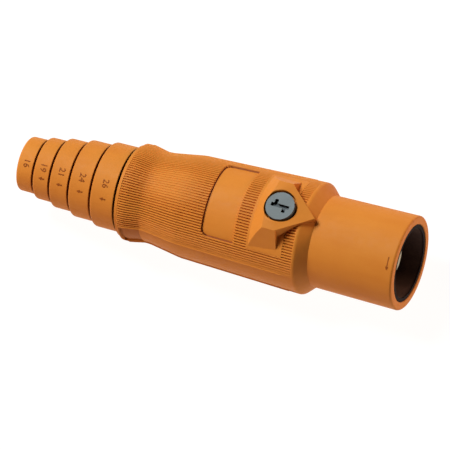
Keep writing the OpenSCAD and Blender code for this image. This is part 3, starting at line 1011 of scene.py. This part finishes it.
class CAMPLUG_OT_marks(bpy.types.Operator):
    """Raise the cable diameters on the bands and the arrow that shows the way to turn"""

    bl_idname = "camplug.marks"
    bl_label = "Raised marks"

    def execute(self, context):
        own = settings()
        relief, nose, sizes = own["relief"], own["nose"], own["marks"]
        shape, hollows = bmesh.new(), []
        for k in range(relief.bands):
            x = SLEEVE_LOW.x + (band_rear(relief, k) + relief.rounding + band_start(relief, k + 1)) / 2
            radius = band_radius(relief, k) + relief.taper / 2
            digits = raised_digits(str(round(2 * passage_radius(relief, k) / MM)), sizes.digit)
            wrap_mark(shape, hollows, digits, (x, sizes.digit_turn), radius, sizes.height)
            if k:
                tick = raised_arrow(sizes.tick, sizes.tick / 2)
                wrap_mark(shape, hollows, tick, (x, sizes.tick_turn), radius, sizes.height, along=True)
        arrow, arrow_x = raised_arrow(sizes.arrow, sizes.arrow / 4), SLEEVE_HIGH.x - sizes.arrow_back
        wrap_mark(shape, hollows, arrow, (arrow_x, sizes.arrow_turn), nose.tip_r - 0.1 * MM, sizes.height)
        marks = finished("raised_marks", shape)
        mark_hollows(marks.data, hollows)
        dress(marks, bpy.data.objects["sleeve_skin"].data.materials[0])
        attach(marks, "root")
        return {"FINISHED"}


class CAMPLUG_OT_contact(bpy.types.Operator):
    """Finish the brass contact, the black carrier and the steel set screws"""

    bl_idname = "camplug.contact"
    bl_label = "Contact and carrier"

    def execute(self, context):
        finish = settings()["finish"]
        steel = blackened_steel(finish)
        finishes = {
            "male_contact": turned_brass(finish),
            "contact_carrier": carrier_plastic(finish),
            "rear_set_screw": steel,
            "front_set_screw": steel,
        }
        for name, material in finishes.items():
            dress(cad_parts[name], material)
        return {"FINISHED"}


def camera_axes(stage):
    """Directions towards the camera, to the picture's right and to its top, in the plug's frame."""
    axis = Vector((1, 0, 0))
    facing = Vector((0, -math.sin(stage.boss_turn), math.cos(stage.boss_turn)))
    toward = axis * math.sin(stage.tilt) + facing * math.cos(stage.tilt)
    along = (axis - toward * math.sin(stage.tilt)).normalized()
    across = toward.cross(along)
    right = along * math.cos(stage.roll) + across * math.sin(stage.roll)
    up = across * math.cos(stage.roll) - along * math.sin(stage.roll)
    return toward, right, up


def add_camera(stage):
    """A distant camera that sees the plug's rear end at its place in the picture."""
    toward, right, up = camera_axes(stage)
    pixel = stage.picture_w / PICTURE_PX
    middle_px = PICTURE_PX / 2
    rear_x, rear_y = stage.rear_end_px
    rear = Vector((SLEEVE_LOW.x, 0, 0))
    centre = rear + right * (middle_px - rear_x) * pixel - up * (middle_px - rear_y) * pixel
    data = bpy.data.cameras.new("photo_camera")
    data.lens = data.sensor_width * stage.distance / stage.picture_w
    data.clip_end = stage.distance * 3
    camera = linked("photo_camera", data)
    turned = Matrix((right, up, toward)).transposed().to_4x4()
    camera.matrix_world = Matrix.Translation(centre + toward * stage.distance) @ turned
    bpy.context.scene.camera = camera


def add_light(name, centre, direction, distance, watts, size, tint):
    """A round lamp at a distance from the centre, which it faces."""
    light = bpy.data.lights.new(name, "AREA")
    light.shape = "DISK"
    light.size = size
    light.energy = watts
    light.color = tint
    lamp = linked(name, light)
    direction = Vector(direction).normalized()
    lamp.location = centre + direction * distance
    lamp.rotation_euler = direction.to_track_quat("Z", "Y").to_euler()


class CAMPLUG_OT_stage(bpy.types.Operator):
    """Set up the floor, the soft lights and the camera at the photograph's angle"""

    bl_idname = "camplug.stage"
    bl_label = "Stage"

    def execute(self, context):
        own = settings()
        stage = own["stage"]
        add_camera(stage)
        low, high = CAD_BOX
        middle = (Vector(low) + Vector(high)) / 2
        bpy.ops.mesh.primitive_plane_add(size=6, location=(middle.x, middle.y, low[2]))
        floor = context.object
        floor.name = "floor"
        dress(floor, studio_floor(own["finish"], stage.glow))
        add_light("key", middle, (-0.42, 0.2, 0.885), 1.6, stage.key_power, size=0.65, tint=COOL)
        add_light("side", middle, (-0.67, -0.62, 0.4), 1.1, stage.side_power, size=0.3, tint=WARM)
        add_light("front", middle, (0.8, 0.6, 0.04), 1.0, stage.front_power, size=0.3, tint=WARM)
        world = bpy.data.worlds.new("studio")
        world.use_nodes = True
        background = world.node_tree.nodes["Background"].inputs
        background["Color"].default_value = (1, 1, 1, 1)
        background["Strength"].default_value = stage.sky
        context.scene.world = world
        context.scene.view_settings.view_transform = "Standard"
        return {"FINISHED"}


class CAMPLUG_PT_panel(bpy.types.Panel):
    """Lists the steps that dress the plug"""

    bl_idname = "CAMPLUG_PT_panel"
    bl_label = "Cam Plug"
    bl_space_type = "VIEW_3D"
    bl_region_type = "UI"
    bl_category = "Cam Plug"

    def draw(self, context):
        for operator in OPERATORS:
            self.layout.operator(operator.bl_idname)
        for name, group in SETTINGS.items():
            box = self.layout.box()
            for prop in group.__annotations__:
                box.prop(getattr(context.scene, name), prop)


OPERATORS = (CAMPLUG_OT_sleeve, CAMPLUG_OT_marks, CAMPLUG_OT_screw, CAMPLUG_OT_contact, CAMPLUG_OT_stage)


def register():
    for name, group in SETTINGS.items():
        bpy.utils.register_class(group)
        setattr(bpy.types.Scene, name, PointerProperty(type=group))
    for cls in (*OPERATORS, CAMPLUG_PT_panel):
        bpy.utils.register_class(cls)


def unregister():
    for cls in reversed((*OPERATORS, CAMPLUG_PT_panel)):
        bpy.utils.unregister_class(cls)
    for name, group in reversed(SETTINGS.items()):
        delattr(bpy.types.Scene, name)
        bpy.utils.unregister_class(group)


def main():
    register()
    bpy.ops.camplug.sleeve()
    bpy.ops.camplug.marks()
    bpy.ops.camplug.screw()
    bpy.ops.camplug.contact()
    bpy.ops.camplug.stage()


if __name__ == "__main__":
    main()
